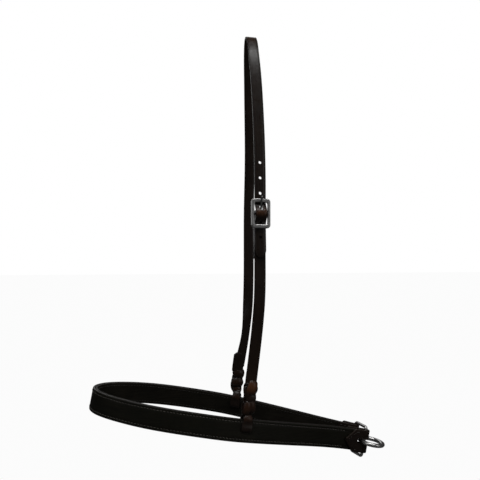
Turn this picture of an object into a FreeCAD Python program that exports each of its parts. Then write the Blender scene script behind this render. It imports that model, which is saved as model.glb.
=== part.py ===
"""Bitless hackamore: a doubled and stitched noseband hung on a one-buckle headstall.

Millimetres. +X runs towards the chin, -Y is the near side with the buckle, +Z is up.
The origin is the underside of the crown strap at its middle, where it rests on the poll.
"""
import FreeCAD, Part
import math
import os

V = FreeCAD.Vector
X_AXIS = V(1, 0, 0)
Y_AXIS = V(0, 1, 0)
Z_AXIS = V(0, 0, 1)

# ---------------------------------------------------------------- driving dimensions
# Headstall strap
STRAP_WIDTH = 12.7
STRAP_THICK = 2.4
LEATHER_GAP = 0.1          # between leather faces that lie on each other
DROP = 428.0               # crown underside to the noseband's upper edge
KNOT_X = -9.2              # where the cheek straps meet the noseband

# Each side of the headstall from the knot to the crown: height over the noseband's edge, forward
# offset from the knot, and distance from the middle. The two sides hang a little unevenly.
NEAR_SIDE = [
    (7.0, 0.5, 45.4),
    (40.0, 3.3, 47.0),
    (87.0, 8.6, 49.0),
    (126.0, 12.0, 50.2),
    (171.0, 13.4, 50.6),
    (208.0, 13.0, 49.6),
    (255.0, 13.4, 46.4),
    (300.0, 13.5, 40.6),
    (350.0, 12.7, 31.8),
    (386.0, 11.4, 24.0),
    (408.0, 10.3, 17.0),
    (421.5, 9.8, 10.0),
    (427.6, 9.3, 4.6),
]
FAR_SIDE = [
    (7.0, -0.6, 56.4),
    (40.0, 3.0, 55.2),
    (71.0, 9.2, 53.8),
    (108.0, 12.7, 51.8),
    (168.0, 13.9, 50.8),
    (230.0, 13.7, 48.4),
    (294.0, 14.0, 41.5),
    (350.0, 12.3, 31.8),
    (386.0, 10.9, 24.0),
    (408.0, 9.8, 17.0),
    (421.5, 9.2, 10.0),
    (427.6, 9.1, 4.6),
]
HEADSTALL_TURN = 8.0       # degrees about Z, near face towards the chin
FAR_TWIST = 28.0           # degrees, the far cheek turns about its own line above the knot
TWIST_HEIGHT = 78.0        # over the noseband's edge, where the twist is greatest
TWIST_REACH = 50.0

# Noseband
NOSEBAND_WIDTH = 24.6      # 1 inch strap after edging
PLY = 2.75                 # outer ply and lining are equally thick
NOSEBAND_SLOPE = 10.6      # degrees, the chin end hangs lower
SIDE_OUTLINE = [           # glue line of one side, from the nose towards the chin
    (-168.6, 0.0),
    (-162.6, 17.1),
    (-142.0, 33.6),
    (-109.2, 46.3),
    (-50.8, 51.7),
    (-14.5, 49.8),
    (19.6, 41.9),
    (67.1, 26.9),
    (108.0, 14.4),
]
NEAR_SPREAD = 0.97         # the loop hangs a little further to the far side
FAR_SPREAD = 1.15
NEAR_END = (138.6, -9.3)
FAR_END = (131.6, 10.6)
SIDE_LEAN = 9.0            # degrees, the cheek straps pull the upper edge inward
LEAN_TO_NOSE = 168.0       # the lean fades out over these lengths from the knots
LEAN_TO_CHIN = 100.0
DROOP = 1.4                # both ends hang lower than the knots, at 150 mm from them
STITCH_INSET = 3.2         # row to the strap's edge
THREAD_WIDTH = 0.8
THREAD_HEIGHT = 0.3

# Slit in the noseband and the turn of strap through it
SLIT_DROP = 12.2           # upper edge of the noseband to the slit's middle
SLIT_LENGTH = 13.2
SLIT_HEIGHT = 3.6
LOOP_CLEAR = 0.45          # loop to the noseband's faces and stitching
LOOP_TOP = 5.5             # loop above the noseband's edge
SWING_HEIGHT = 4.5         # swing axis above the noseband's edge

# Bleed knots
LOBE_COUNT = 3
LOBE_RADIUS = 7.2
LOBE_PITCH = 11.0
LOBE_DEPTH = 8.6
LOBE_ROUND = 2.6
FIRST_LOBE = 14.9          # lowest lobe's centre above the noseband's edge
KNOT_TAB_TOP = 54.0

# Chin hardware
CHAPE_WIDTH = 26.8
CHAPE_THICK = 2.6
CHAPE_OUTER = 26.0         # bar to the V point
CHAPE_INNER = 21.0         # bar to the end of the inner leg
CHAPE_POINT = 12.0         # length of the V
END_GAP = 9.8              # bar to the end of the noseband
CHAPE_SLOT = 7.6
CHAPE_SLOT_REACH = 10.4
LINK_WIRE = 3.6
LINK_HEIGHT = 33.8         # between the centres of the long wires
LINK_DROP = 1.2            # the link hangs this far below the middle of the strap ends
LINK_CORNER = 2.6
RING_WIRE = 4.8
RING_RADIUS = 13.3         # wire centre line
RING_PLAY = 0.3

# Buckle
BUCKLE_HEIGHT_UP = 223.3   # centre bar above the noseband's edge
FRAME_WIDTH = 21.4
FRAME_HEIGHT = 32.3
WINDOW_WIDTH = 14.5
WINDOW_HEIGHT = 23.7
FRAME_THICK = 3.0
FRAME_CORNER = 4.0
WINDOW_CORNER = 1.8
FRAME_ROUND = 1.1
CENTRE_BAR = 2.6           # diameter
CENTRE_BAR_OUT = 0.9       # bar's centre outside the strap's centre line
TONGUE_WIRE = 2.1
TONGUE_EYE_WALL = 1.3
TONGUE_EYE_WIDTH = 2.8
TONGUE_REACH = 17.6
TONGUE_PLAY = 6.0          # degrees
BULGE_HALF = 13.0          # half the length of the billet's bulge over the centre bar
TAIL_LENGTH = 48.0         # centre bar to the tip of the tail
TAIL_POINT = 8.0
HOLE_RADIUS = 1.7
HOLE_PITCH = 17.0
USED_HOLE = 8.4            # above the centre bar
HOLES_ABOVE = 3
HOLES_BELOW = 2

BAR_RADIUS = CENTRE_BAR / 2
FOLD_RADIUS = BAR_RADIUS + LEATHER_GAP + STRAP_THICK / 2
STRAP_STEP = STRAP_THICK + LEATHER_GAP
SWING_POINT = V(KNOT_X, 0, SWING_HEIGHT - DROP)
HALF_NOSEBAND = NOSEBAND_WIDTH / 2


# ---------------------------------------------------------------- curves and ribbons
def spline(points, parameters=None):
    curve = Part.BSplineCurve()
    if parameters is None:
        curve.interpolate(points)
    else:
        curve.interpolate(Points=points, Parameters=parameters)
    return curve


def at_distance(curve, distance):
    """Point and unit tangent at a length along the curve."""
    u = curve.parameterAtDistance(distance, curve.FirstParameter)
    return curve.value(u), curve.tangent(u)[0]


def frame_at(curve, distance, across):
    """Point, tangent, width direction and outward direction at a length along the curve."""
    point, along = at_distance(curve, distance)
    wide = across - along * across.dot(along)
    wide.normalize()
    return point, along, wide, wide.cross(along)


def ruled_face(first, second):
    """Straight-ruled face between two splines that share their knots."""
    surface = Part.BSplineSurface()
    surface.buildFromPolesMultsKnots([first.getPoles(), second.getPoles()], [2, 2],
                                     first.getMultiplicities(), [0.0, 1.0], first.getKnots(),
                                     False, False, 1, first.Degree)
    return surface.toShape()


def upright(point):
    return 0.0


def ribbon(path, across, width, inner, outer, samples, lift=0.0, lean=upright):
    """Strip along the path, between two offsets on its outward side."""
    corners = [[], [], [], []]
    stations = [path.length() * i / samples for i in range(samples + 1)]
    for station in stations:
        point, along, wide, out = frame_at(path, station, across)
        angle = lean(point)
        wide, out = (wide * math.cos(angle) - out * math.sin(angle),
                     out * math.cos(angle) + wide * math.sin(angle))
        low = wide * (lift - width / 2)
        high = wide * (lift + width / 2)
        corners[0].append(point + low + out * inner)
        corners[1].append(point + high + out * inner)
        corners[2].append(point + high + out * outer)
        corners[3].append(point + low + out * outer)
    edges = [spline(line, stations) for line in corners]
    faces = [ruled_face(edges[k], edges[(k + 1) % 4]) for k in range(4)]
    for end in (0, -1):
        outline = [line[end] for line in corners]
        faces.append(Part.Face(Part.makePolygon(outline + outline[:1])))
    shell = Part.makeShell(faces)
    shell.sewShape()
    solid = Part.makeSolid(shell)
    if solid.Volume < 0:
        solid.reverse()
    return solid


def part_of(path, start, end, step=6.0, offset=lambda distance: 0.0, across=Z_AXIS):
    """Spline through stations of a path between two lengths, moved outward by offset(distance)."""
    count = max(4, round(abs(end - start) / step))
    points = []
    for i in range(count + 1):
        distance = start + (end - start) * i / count
        point, along, wide, out = frame_at(path, distance, across)
        points.append(point + out * offset(distance))
    return spline(points)


def prism(outline, direction):
    """Extruded closed polygon."""
    face = Part.Face(Part.makePolygon(outline + outline[:1]))
    return face.extrude(direction)


def rounded_plate(width, height, corner, thick):
    """Plate in XZ with round corners, from y = 0 to y = thick."""
    plate = Part.makeBox(width, thick, height, V(-width / 2, 0, -height / 2))
    upright = [e for e in plate.Edges if abs(e.tangentAt(e.FirstParameter).y) > 0.9]
    return plate.makeFillet(corner, upright)


# ---------------------------------------------------------------- headstall centre line
def side_points(guide, sign):
    return [V(KNOT_X + ahead, sign * spread, up - DROP) for up, ahead, spread in guide]


def headstall_line():
    """Far knot, crown, near knot: the strap's centre line."""
    top = [V(0, 0, STRAP_THICK / 2)]
    return spline(side_points(FAR_SIDE, 1) + top + side_points(NEAR_SIDE, -1)[::-1])


HEAD_LINE = headstall_line()
HEAD_ACROSS = V(-math.cos(math.radians(HEADSTALL_TURN)), -math.sin(math.radians(HEADSTALL_TURN)), 0)


def far_twist(point):
    """Turn of the crown strap about its own line, only low on the far side."""
    if point.y < 0:
        return 0.0
    share = min(1.0, abs(point.z + DROP - TWIST_HEIGHT) / TWIST_REACH)
    return math.radians(FAR_TWIST) * math.cos(math.pi / 2 * share) ** 2


def distance_at(height_up, low, high):
    """Length along the headstall line of a height, between a high and a low place on it."""
    for _ in range(40):
        middle = (low + high) / 2
        if at_distance(HEAD_LINE, middle)[0].z > height_up - DROP:
            low = middle
        else:
            high = middle
    return low


def near_distance(height_up):
    return distance_at(height_up, HEAD_LINE.length() / 2, HEAD_LINE.length())


def far_distance(height_up):
    return distance_at(height_up, HEAD_LINE.length() / 2, 0)


BUCKLE_AT = near_distance(BUCKLE_HEIGHT_UP)


def knot_top(height_of):
    """Length along the headstall line of the topmost lobe's centre."""
    return height_of(FIRST_LOBE + (LOBE_COUNT - 1) * LOBE_PITCH)


def bulge(distance):
    """How far the billet stands off the centre line as it crosses the buckle's centre bar."""
    s = distance - BUCKLE_AT
    peak = CENTRE_BAR_OUT + FOLD_RADIUS + STRAP_STEP
    if abs(s) >= BULGE_HALF:
        return 0.0
    return peak / 2 * (1 + math.cos(math.pi * s / BULGE_HALF))


def billet_line():
    """Crown strap's centre line: far knot to the tip of the tail."""
    before = part_of(HEAD_LINE, knot_top(far_distance), BUCKLE_AT - 30, 9, across=HEAD_ACROSS)
    through = part_of(HEAD_LINE, BUCKLE_AT - 24, BUCKLE_AT + TAIL_LENGTH, 1.6, bulge, HEAD_ACROSS)
    return spline([before.value(u) for u in before.getKnots()]
                  + [through.value(u) for u in through.getKnots()])


def into_buckle(shape):
    """Move a piece from the buckle's own frame: X across, Y inward, Z up the strap."""
    point, down, wide, out = frame_at(HEAD_LINE, BUCKLE_AT, HEAD_ACROSS)
    x_dir = wide * -1
    z_dir = down * -1
    y_dir = z_dir.cross(x_dir)
    matrix = FreeCAD.Matrix(x_dir.x, y_dir.x, z_dir.x, point.x,
                            x_dir.y, y_dir.y, z_dir.y, point.y,
                            x_dir.z, y_dir.z, z_dir.z, point.z,
                            0, 0, 0, 1)
    moved = shape.copy()
    moved.Placement = FreeCAD.Placement(matrix).multiply(moved.Placement)
    return moved


# ---------------------------------------------------------------- buckle
def buckle_frame():
    plate = rounded_plate(FRAME_WIDTH, FRAME_HEIGHT, FRAME_CORNER, FRAME_THICK)
    window = rounded_plate(WINDOW_WIDTH, WINDOW_HEIGHT, WINDOW_CORNER, FRAME_THICK)
    frame = plate.cut(window)
    rims = [e for e in frame.Edges if abs(e.tangentAt(e.FirstParameter).y) < 0.1]
    frame = frame.makeFillet(FRAME_ROUND, rims)
    frame.translate(V(0, -STRAP_THICK / 2 - LEATHER_GAP - FRAME_THICK, 0))
    half = WINDOW_WIDTH / 2 + 1.6
    bar = Part.makeCylinder(BAR_RADIUS, 2 * half, V(-half, -CENTRE_BAR_OUT, 0), X_AXIS)
    return frame.fuse(bar).removeSplitter()


def tongue_line():
    """Root and tip of the tongue's shank in the buckle's frame."""
    face = STRAP_THICK / 2 + LEATHER_GAP + FRAME_THICK
    rest_at = WINDOW_HEIGHT / 2 + FRAME_ROUND
    root = V(0, -CENTRE_BAR_OUT - 1.2, 1.6)
    touch = V(0, -face - TONGUE_WIRE / 2 - 0.15, rest_at)
    along = touch - root
    along.normalize()
    tip = root + along * ((TONGUE_REACH - root.z) / along.z)
    return root, tip, along


def tongue():
    root, tip, along = tongue_line()
    eye_radius = BAR_RADIUS + 0.06 + TONGUE_EYE_WALL
    start = V(-TONGUE_EYE_WIDTH / 2, -CENTRE_BAR_OUT, 0)
    eye = Part.makeCylinder(eye_radius, TONGUE_EYE_WIDTH, start, X_AXIS)
    shank = Part.makeCylinder(TONGUE_WIRE / 2, (tip - root).Length, root, along)
    nose = Part.makeSphere(TONGUE_WIRE / 2, tip)
    bore = Part.makeCylinder(BAR_RADIUS + 0.06, TONGUE_EYE_WIDTH, start, X_AXIS)
    return eye.fuse([shank, nose]).cut(bore).removeSplitter()


def tongue_room():
    """Space that the tongue needs in the leather over its small play."""
    root, tip, along = tongue_line()
    room = Part.makeCylinder(TONGUE_WIRE / 2 + 0.5, (tip - root).Length + 4, root, along)
    opened = room.copy()
    opened.rotate(V(0, -CENTRE_BAR_OUT, 0), X_AXIS, TONGUE_PLAY)
    return room.fuse(opened)


# ---------------------------------------------------------------- headstall leather
def pointed(strap, tip, down, across, outward):
    """Cut the end of the billet to a point. The tip is the middle of its end."""
    start = tip - outward * 8
    for side in (1, -1):
        edge = across * (side * (STRAP_WIDTH / 2 + 1))
        outline = [start, start + edge, start + edge - down * TAIL_POINT]
        strap = strap.cut(prism(outline, outward * 16))
    return strap


def punched(strap, path, path_at):
    """Punch the adjusting holes along the billet."""
    for k in range(-HOLES_BELOW, HOLES_ABOVE + 1):
        if k == 0:
            continue
        distance = path_at - USED_HOLE - k * HOLE_PITCH
        point, along, wide, out = frame_at(path, distance, HEAD_ACROSS)
        strap = strap.cut(Part.makeCylinder(HOLE_RADIUS, 8, point - out * 4, out))
    return strap


def crown_strap(far_knot):
    line = billet_line()
    strap = ribbon(line, HEAD_ACROSS, STRAP_WIDTH, -STRAP_THICK / 2, STRAP_THICK / 2, 150, lean=far_twist)
    strap = punched(strap, line, line.length() - TAIL_LENGTH)
    tip, down, wide, out = frame_at(line, line.length(), HEAD_ACROSS)
    strap = pointed(strap, tip, down, wide, out)
    return strap.cut(into_buckle(tongue_room())).cut(far_knot)


def cheek_offset(distance):
    """The cheek strap lies one thickness inside the billet, and further down takes its place."""
    s = distance - BUCKLE_AT
    blend = min(1.0, max(0.0, (s - TAIL_LENGTH - 4) / 50))
    return bulge(distance) - STRAP_STEP * (1 - blend * blend * (3 - 2 * blend))


def cheek_points():
    """Centre line of the near cheek strap, from the knot up, round the centre bar and back down."""
    billet = part_of(HEAD_LINE, BUCKLE_AT - 2, BUCKLE_AT + TAIL_LENGTH + 2, 1.6, bulge, HEAD_ACROSS)
    points = []
    start = knot_top(near_distance)
    for i in range(21):
        distance = start + (BUCKLE_AT + TAIL_LENGTH + 6 - start) * i / 20
        point, along, wide, out = frame_at(HEAD_LINE, distance, HEAD_ACROSS)
        points.append(point + out * cheek_offset(distance))
    front = []
    back = []
    for i in range(19):
        distance = billet.length() * (1 - i / 20)
        point, along, wide, out = frame_at(billet, distance, HEAD_ACROSS)
        front.append(point - out * STRAP_STEP)
        back.append(point - out * STRAP_STEP * 2)
    point, down, wide, out = frame_at(HEAD_LINE, BUCKLE_AT, HEAD_ACROSS)
    centre = point + out * CENTRE_BAR_OUT
    fold = []
    for degrees in (75, 45, 15, -15, -45, -75, -100):
        angle = math.radians(degrees)
        fold.append(centre + out * (FOLD_RADIUS * math.sin(angle)) - down * (FOLD_RADIUS * math.cos(angle)))
    return points + front[1:] + fold + back[::-1][6:19]


def near_cheek_strap(near_knot):
    line = spline(cheek_points())
    strap = ribbon(line, HEAD_ACROSS * -1, STRAP_WIDTH, -STRAP_THICK / 2, STRAP_THICK / 2, 150)
    slot = Part.makeBox(TONGUE_EYE_WIDTH + 0.8, 16, 10, V(-TONGUE_EYE_WIDTH / 2 - 0.4, -8, -3.2))
    return strap.cut(into_buckle(slot)).cut(near_knot)


def turn_back_stitching():
    """Two rows of thread on the inner face of the cheek strap's turn-back."""
    inner = -2.5 * STRAP_STEP + LEATHER_GAP / 2
    path = part_of(HEAD_LINE, BUCKLE_AT + 18, BUCKLE_AT + TAIL_LENGTH - 6, 4, across=HEAD_ACROSS)
    rows = []
    for side in (1, -1):
        lift = side * (STRAP_WIDTH / 2 - 2.4)
        rows.append(ribbon(path, HEAD_ACROSS, THREAD_WIDTH, inner - THREAD_HEIGHT, inner, 12, lift))
    return Part.makeCompound(rows)


def bleed_knot(distance_of, side):
    """Scalloped knot: three lobes and the strap's own end lying against the inner face."""
    lobes = []
    for k in range(LOBE_COUNT):
        point, along, wide, out = frame_at(HEAD_LINE, distance_of(FIRST_LOBE + k * LOBE_PITCH), HEAD_ACROSS)
        lobe = Part.makeCylinder(LOBE_RADIUS, LOBE_DEPTH, V(0, 0, -LOBE_DEPTH / 2), Z_AXIS)
        lobe = lobe.makeFillet(LOBE_ROUND, [e for e in lobe.Edges if e.Curve.TypeId == "Part::GeomCircle"])
        lobe.Placement = FreeCAD.Placement(point, FreeCAD.Rotation(Z_AXIS, out))
        lobes.append(lobe)
    low = FIRST_LOBE + (LOBE_COUNT - 1) * LOBE_PITCH
    path = part_of(HEAD_LINE, distance_of(low), distance_of(KNOT_TAB_TOP), 4, across=HEAD_ACROSS)
    across = HEAD_ACROSS * side
    inner = -STRAP_THICK / 2 - LEATHER_GAP
    tab = ribbon(path, across, STRAP_WIDTH, inner - STRAP_THICK, inner, 10)
    return lobes[0].fuse(lobes[1:] + [tab]).removeSplitter()


# ---------------------------------------------------------------- noseband
def noseband_line():
    """Glue line between the plies: near chin end, nose, far chin end."""
    near = [(x, -y * NEAR_SPREAD) for x, y in SIDE_OUTLINE[:0:-1]]
    far = [(x, y * FAR_SPREAD) for x, y in SIDE_OUTLINE]
    outline = [NEAR_END] + near + far + [FAR_END]
    return spline([V(x, y, -DROOP * (x / 150) ** 2) for x, y in outline])


def side_lean(point):
    """Inward lean of the noseband's upper edge, greatest at the knots."""
    reach = LEAN_TO_CHIN if point.x > 0 else LEAN_TO_NOSE
    share = min(1.0, abs(point.x) / reach)
    return math.radians(SIDE_LEAN) * math.cos(math.pi / 2 * share) ** 2


NOSE_LINE = noseband_line()


def chin_frame(side):
    """Bar centre, direction from the bar back along the strap, and outward direction."""
    distance = 0 if side < 0 else NOSE_LINE.length()
    point, along, wide, out = frame_at(NOSE_LINE, distance, Z_AXIS)
    back = along if side < 0 else along * -1
    return point - back * END_GAP, back, out


def onto_noseband(shape):
    """Place a piece built flat, with the noseband's mid height at z = 0, at its slope."""
    placed = shape.copy()
    placed.translate(V(KNOT_X, 0, SWING_POINT.z - HALF_NOSEBAND - SWING_HEIGHT))
    placed.rotate(SWING_POINT, Y_AXIS, NOSEBAND_SLOPE)
    return placed


def knot_frame(side):
    """Point and directions of the noseband's glue line at the knot."""
    low, high = (0, NOSE_LINE.length() / 2)
    if side > 0:
        low, high = (NOSE_LINE.length(), NOSE_LINE.length() / 2)
    for _ in range(40):
        middle = (low + high) / 2
        if at_distance(NOSE_LINE, middle)[0].x > 0:
            low = middle
        else:
            high = middle
    return frame_at(NOSE_LINE, low, Z_AXIS)


def at_knot(shape, side):
    """Move a piece from the knot's own frame: X along the strap, Y outward, Z up."""
    point, along, wide, out = knot_frame(side)
    along = out.cross(Z_AXIS)
    matrix = FreeCAD.Matrix(along.x, out.x, 0, point.x,
                            along.y, out.y, 0, point.y,
                            0, 0, 1, 0,
                            0, 0, 0, 1)
    moved = shape.copy()
    moved.rotate(V(0, 0, 0), X_AXIS, math.degrees(side_lean(point)))
    moved.Placement = FreeCAD.Placement(matrix).multiply(moved.Placement)
    return moved


def slit(side):
    z = HALF_NOSEBAND - SLIT_DROP
    box = Part.makeBox(SLIT_LENGTH, 20, SLIT_HEIGHT, V(-SLIT_LENGTH / 2, -10, z - SLIT_HEIGHT / 2))
    return at_knot(box, side)


def noseband_ply(inner, outer):
    ply = ribbon(NOSE_LINE, Z_AXIS, NOSEBAND_WIDTH, inner, outer, 90, lean=side_lean)
    for side in (-1, 1):
        ply = ply.cut(slit(side))
    return ply


def stitch_row(lift):
    """Outer and inner thread of one row, between the chapes."""
    clear = CHAPE_OUTER - END_GAP + 2
    path = part_of(NOSE_LINE, clear, NOSE_LINE.length() - clear, 8)
    outer = ribbon(path, Z_AXIS, THREAD_WIDTH, PLY, PLY + THREAD_HEIGHT, 80, lift, side_lean)
    inner = ribbon(path, Z_AXIS, THREAD_WIDTH, -PLY - THREAD_HEIGHT, -PLY, 80, lift, side_lean)
    return Part.makeCompound([outer, inner])


def knot_loop(side):
    """Closed turn of strap through the slit and over the noseband's upper edge."""
    gap = PLY + LOOP_CLEAR
    thick = STRAP_THICK
    bottom = HALF_NOSEBAND - SLIT_DROP - thick / 2
    top = HALF_NOSEBAND + LOOP_TOP
    half = STRAP_WIDTH / 2
    outside = Part.makeBox(2 * half, 2 * (gap + thick), top - bottom, V(-half, -gap - thick, bottom))
    hole_top = HALF_NOSEBAND + 1.2
    hole = Part.makeBox(2 * half, 2 * gap, hole_top - bottom - thick, V(-half, -gap, bottom + thick))
    loop = outside.cut(hole)
    lengthwise = [e for e in outside.Edges if abs(e.tangentAt(e.FirstParameter).x) > 0.9]
    rounded = outside.makeFillet(1.6, lengthwise).cut(hole)
    return at_knot(rounded if rounded.isValid() else loop, side)


# ---------------------------------------------------------------- chin
def chape_line(side):
    """Outer leg, fold round the bar, inner leg, in plan."""
    bar, back, out = chin_frame(side)
    length = NOSE_LINE.length()
    leg = PLY + LEATHER_GAP + CHAPE_THICK / 2
    fold_radius = (LINK_WIRE + CHAPE_THICK) / 2 + LEATHER_GAP

    def beside(distance_from_bar, offset):
        distance = distance_from_bar - END_GAP
        if side > 0:
            distance = length - distance
        point, along, wide, outward = frame_at(NOSE_LINE, distance, Z_AXIS)
        return point + outward * offset

    points = [beside(CHAPE_OUTER - 5.2 * k, leg) for k in range(4)]
    points.append(bar + back * 4.5 + out * (fold_radius + 0.25))
    for degrees in (90, 60, 30, 0, -30, -60, -90):
        angle = math.radians(degrees)
        points.append(bar + out * (fold_radius * math.sin(angle)) - back * (fold_radius * math.cos(angle)))
    points.append(bar + back * 4.5 - out * (fold_radius + 0.25))
    points += [beside(CHAPE_INNER - 3.6 * k, -leg) for k in range(3, -1, -1)]
    return spline(points)


def chape(side):
    line = chape_line(side)
    across = Z_AXIS if side < 0 else Z_AXIS * -1
    piece = ribbon(line, across, CHAPE_WIDTH, -CHAPE_THICK / 2, CHAPE_THICK / 2, 70)
    bar, back, out = chin_frame(side)
    slot_start = bar - back * 8 - out * 10 - Z_AXIS * (CHAPE_SLOT / 2)
    outline = [slot_start, slot_start + back * (8 + CHAPE_SLOT_REACH)]
    outline += [outline[1] + Z_AXIS * CHAPE_SLOT, outline[0] + Z_AXIS * CHAPE_SLOT]
    piece = piece.cut(prism(outline, out * 20))
    point = bar + back * (CHAPE_OUTER + 0.6)
    for up in (1, -1):
        high = Z_AXIS * (up * (CHAPE_WIDTH / 2 + 1))
        outline = [point, point + high, point + high - back * CHAPE_POINT]
        piece = piece.cut(prism(outline, out * 12))
    return piece


def chape_stitching(side):
    """Rows of thread along both edges of the chape's legs."""
    length = NOSE_LINE.length()
    far_reach = CHAPE_OUTER - CHAPE_POINT - END_GAP + 2.5
    ends = (1.0, far_reach) if side < 0 else (length - 1.0, length - far_reach)
    path = part_of(NOSE_LINE, ends[0], ends[1], 2)
    across = Z_AXIS if side < 0 else Z_AXIS * -1
    face = PLY + LEATHER_GAP + CHAPE_THICK
    rows = []
    for up in (1, -1):
        lift = up * (CHAPE_WIDTH / 2 - STITCH_INSET)
        rows.append(ribbon(path, across, THREAD_WIDTH, face, face + THREAD_HEIGHT, 8, lift))
        rows.append(ribbon(path, across, THREAD_WIDTH, -face - THREAD_HEIGHT, -face, 8, lift))
    return Part.makeCompound(rows)


def chin_link():
    """Rectangular wire link standing on its two long bars."""
    near = chin_frame(-1)[0] - Z_AXIS * LINK_DROP
    far = chin_frame(1)[0] - Z_AXIS * LINK_DROP
    over = far - near
    over.normalize()
    half = LINK_HEIGHT / 2
    corners = [near - Z_AXIS * half, far - Z_AXIS * half, far + Z_AXIS * half, near + Z_AXIS * half]
    edges = []
    previous = None
    for k in range(5):
        corner = corners[k % 4]
        before = corners[(k - 1) % 4] - corner
        after = corners[(k + 1) % 4] - corner
        before.normalize()
        after.normalize()
        into = corner + before * LINK_CORNER
        away = corner + after * LINK_CORNER
        middle = corner + (before + after) * (LINK_CORNER * (1 - math.sqrt(0.5)))
        if previous is not None:
            edges.append(Part.LineSegment(previous, into).toShape())
        if k < 4:
            edges.append(Part.Arc(into, middle, away).toShape())
        previous = away
    wire = Part.Wire(Part.sortEdges(edges)[0])
    first = edges[1]
    start = first.valueAt(first.FirstParameter)
    direction = first.tangentAt(first.FirstParameter)
    profile = Part.Wire(Part.makeCircle(LINK_WIRE / 2, start, direction))
    return wire.makePipeShell([profile], True, False)


def ring_centre():
    bar, back, out = chin_frame(-1)
    return bar + X_AXIS * (RING_RADIUS - (RING_WIRE + LINK_WIRE) / 2 - RING_PLAY)


def tie_down_ring():
    return Part.makeTorus(RING_RADIUS, RING_WIRE / 2, ring_centre(), Z_AXIS)


# ---------------------------------------------------------------- assembly
def build():
    near_knot = bleed_knot(near_distance, -1)
    far_knot = bleed_knot(far_distance, 1)
    row_lift = HALF_NOSEBAND - STITCH_INSET
    parts = {
        "crown_strap": crown_strap(far_knot),
        "near_cheek_strap": near_cheek_strap(near_knot),
        "cheek_turn_back_stitching": turn_back_stitching(),
        "buckle_frame": into_buckle(buckle_frame()),
        "buckle_tongue": into_buckle(tongue()),
        "near_bleed_knot": near_knot,
        "far_bleed_knot": far_knot,
        "near_knot_loop": onto_noseband(knot_loop(-1)),
        "far_knot_loop": onto_noseband(knot_loop(1)),
        "noseband_outer_ply": onto_noseband(noseband_ply(0, PLY)),
        "noseband_lining": onto_noseband(noseband_ply(-PLY, 0)),
        "noseband_top_stitching": onto_noseband(stitch_row(row_lift)),
        "noseband_bottom_stitching": onto_noseband(stitch_row(-row_lift)),
        "near_chape": onto_noseband(chape(-1)),
        "far_chape": onto_noseband(chape(1)),
        "near_chape_stitching": onto_noseband(chape_stitching(-1)),
        "far_chape_stitching": onto_noseband(chape_stitching(1)),
        "chin_link": onto_noseband(chin_link()),
        "tie_down_ring": onto_noseband(tie_down_ring()),
    }
    return parts


def report_axes():
    """Print the joint axes in metres, for the record."""
    bar = Part.Vertex(chin_frame(-1)[0])
    centre = Part.Vertex(ring_centre())
    print("swing point", SWING_POINT / 1000)
    print("near bar", onto_noseband(bar).Point / 1000)
    print("ring centre", onto_noseband(centre).Point / 1000)
    pivot = into_buckle(Part.Vertex(V(0, -CENTRE_BAR_OUT, 0))).Point
    side = into_buckle(Part.Vertex(V(1, -CENTRE_BAR_OUT, 0))).Point - pivot
    print("tongue pivot", pivot / 1000, "axis", side)


os.makedirs("parts", exist_ok=True)
for name, shape in build().items():
    shape.exportStep("parts/" + name + ".step")
    print(name, "valid" if shape.isValid() else "INVALID", len(shape.Solids), round(shape.Volume, 1))
report_axes()
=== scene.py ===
"""Looks of the bitless hackamore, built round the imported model.

Lengths in this script are millimetres until a mesh is made, and metres in Blender. The axes are
the model's own: +X towards the chin, -Y the near side with the buckle, +Z up, and the origin under
the crown strap at its middle. The driving sizes and outlines are those of the part's source. Only
the noseband's slits and the chapes' slots are cut a little smaller here.
"""
import math

import bmesh
import bpy
import numpy as np
from mathutils import Matrix, Vector

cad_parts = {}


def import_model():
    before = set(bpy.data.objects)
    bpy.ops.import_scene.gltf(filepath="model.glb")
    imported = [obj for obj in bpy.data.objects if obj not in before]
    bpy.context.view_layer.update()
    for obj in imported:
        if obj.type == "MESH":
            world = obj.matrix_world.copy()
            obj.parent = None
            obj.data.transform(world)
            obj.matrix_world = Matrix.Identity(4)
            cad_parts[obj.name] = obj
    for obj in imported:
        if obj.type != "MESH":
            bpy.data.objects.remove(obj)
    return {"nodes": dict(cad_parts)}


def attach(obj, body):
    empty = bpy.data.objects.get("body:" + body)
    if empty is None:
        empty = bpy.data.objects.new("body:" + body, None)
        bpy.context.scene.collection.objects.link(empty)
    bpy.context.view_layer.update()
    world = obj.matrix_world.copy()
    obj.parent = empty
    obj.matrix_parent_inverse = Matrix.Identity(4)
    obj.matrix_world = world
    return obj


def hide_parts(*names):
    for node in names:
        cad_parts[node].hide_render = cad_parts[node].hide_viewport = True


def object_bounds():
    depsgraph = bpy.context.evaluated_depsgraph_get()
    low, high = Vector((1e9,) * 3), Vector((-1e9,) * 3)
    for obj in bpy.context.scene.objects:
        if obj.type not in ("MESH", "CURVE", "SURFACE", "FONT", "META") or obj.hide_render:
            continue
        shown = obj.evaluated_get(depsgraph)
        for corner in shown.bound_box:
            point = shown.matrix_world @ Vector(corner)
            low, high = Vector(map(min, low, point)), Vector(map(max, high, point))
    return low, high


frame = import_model()
cad_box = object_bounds()

MM = 0.001
Z_AXIS = np.array([0.0, 0.0, 1.0])

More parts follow.
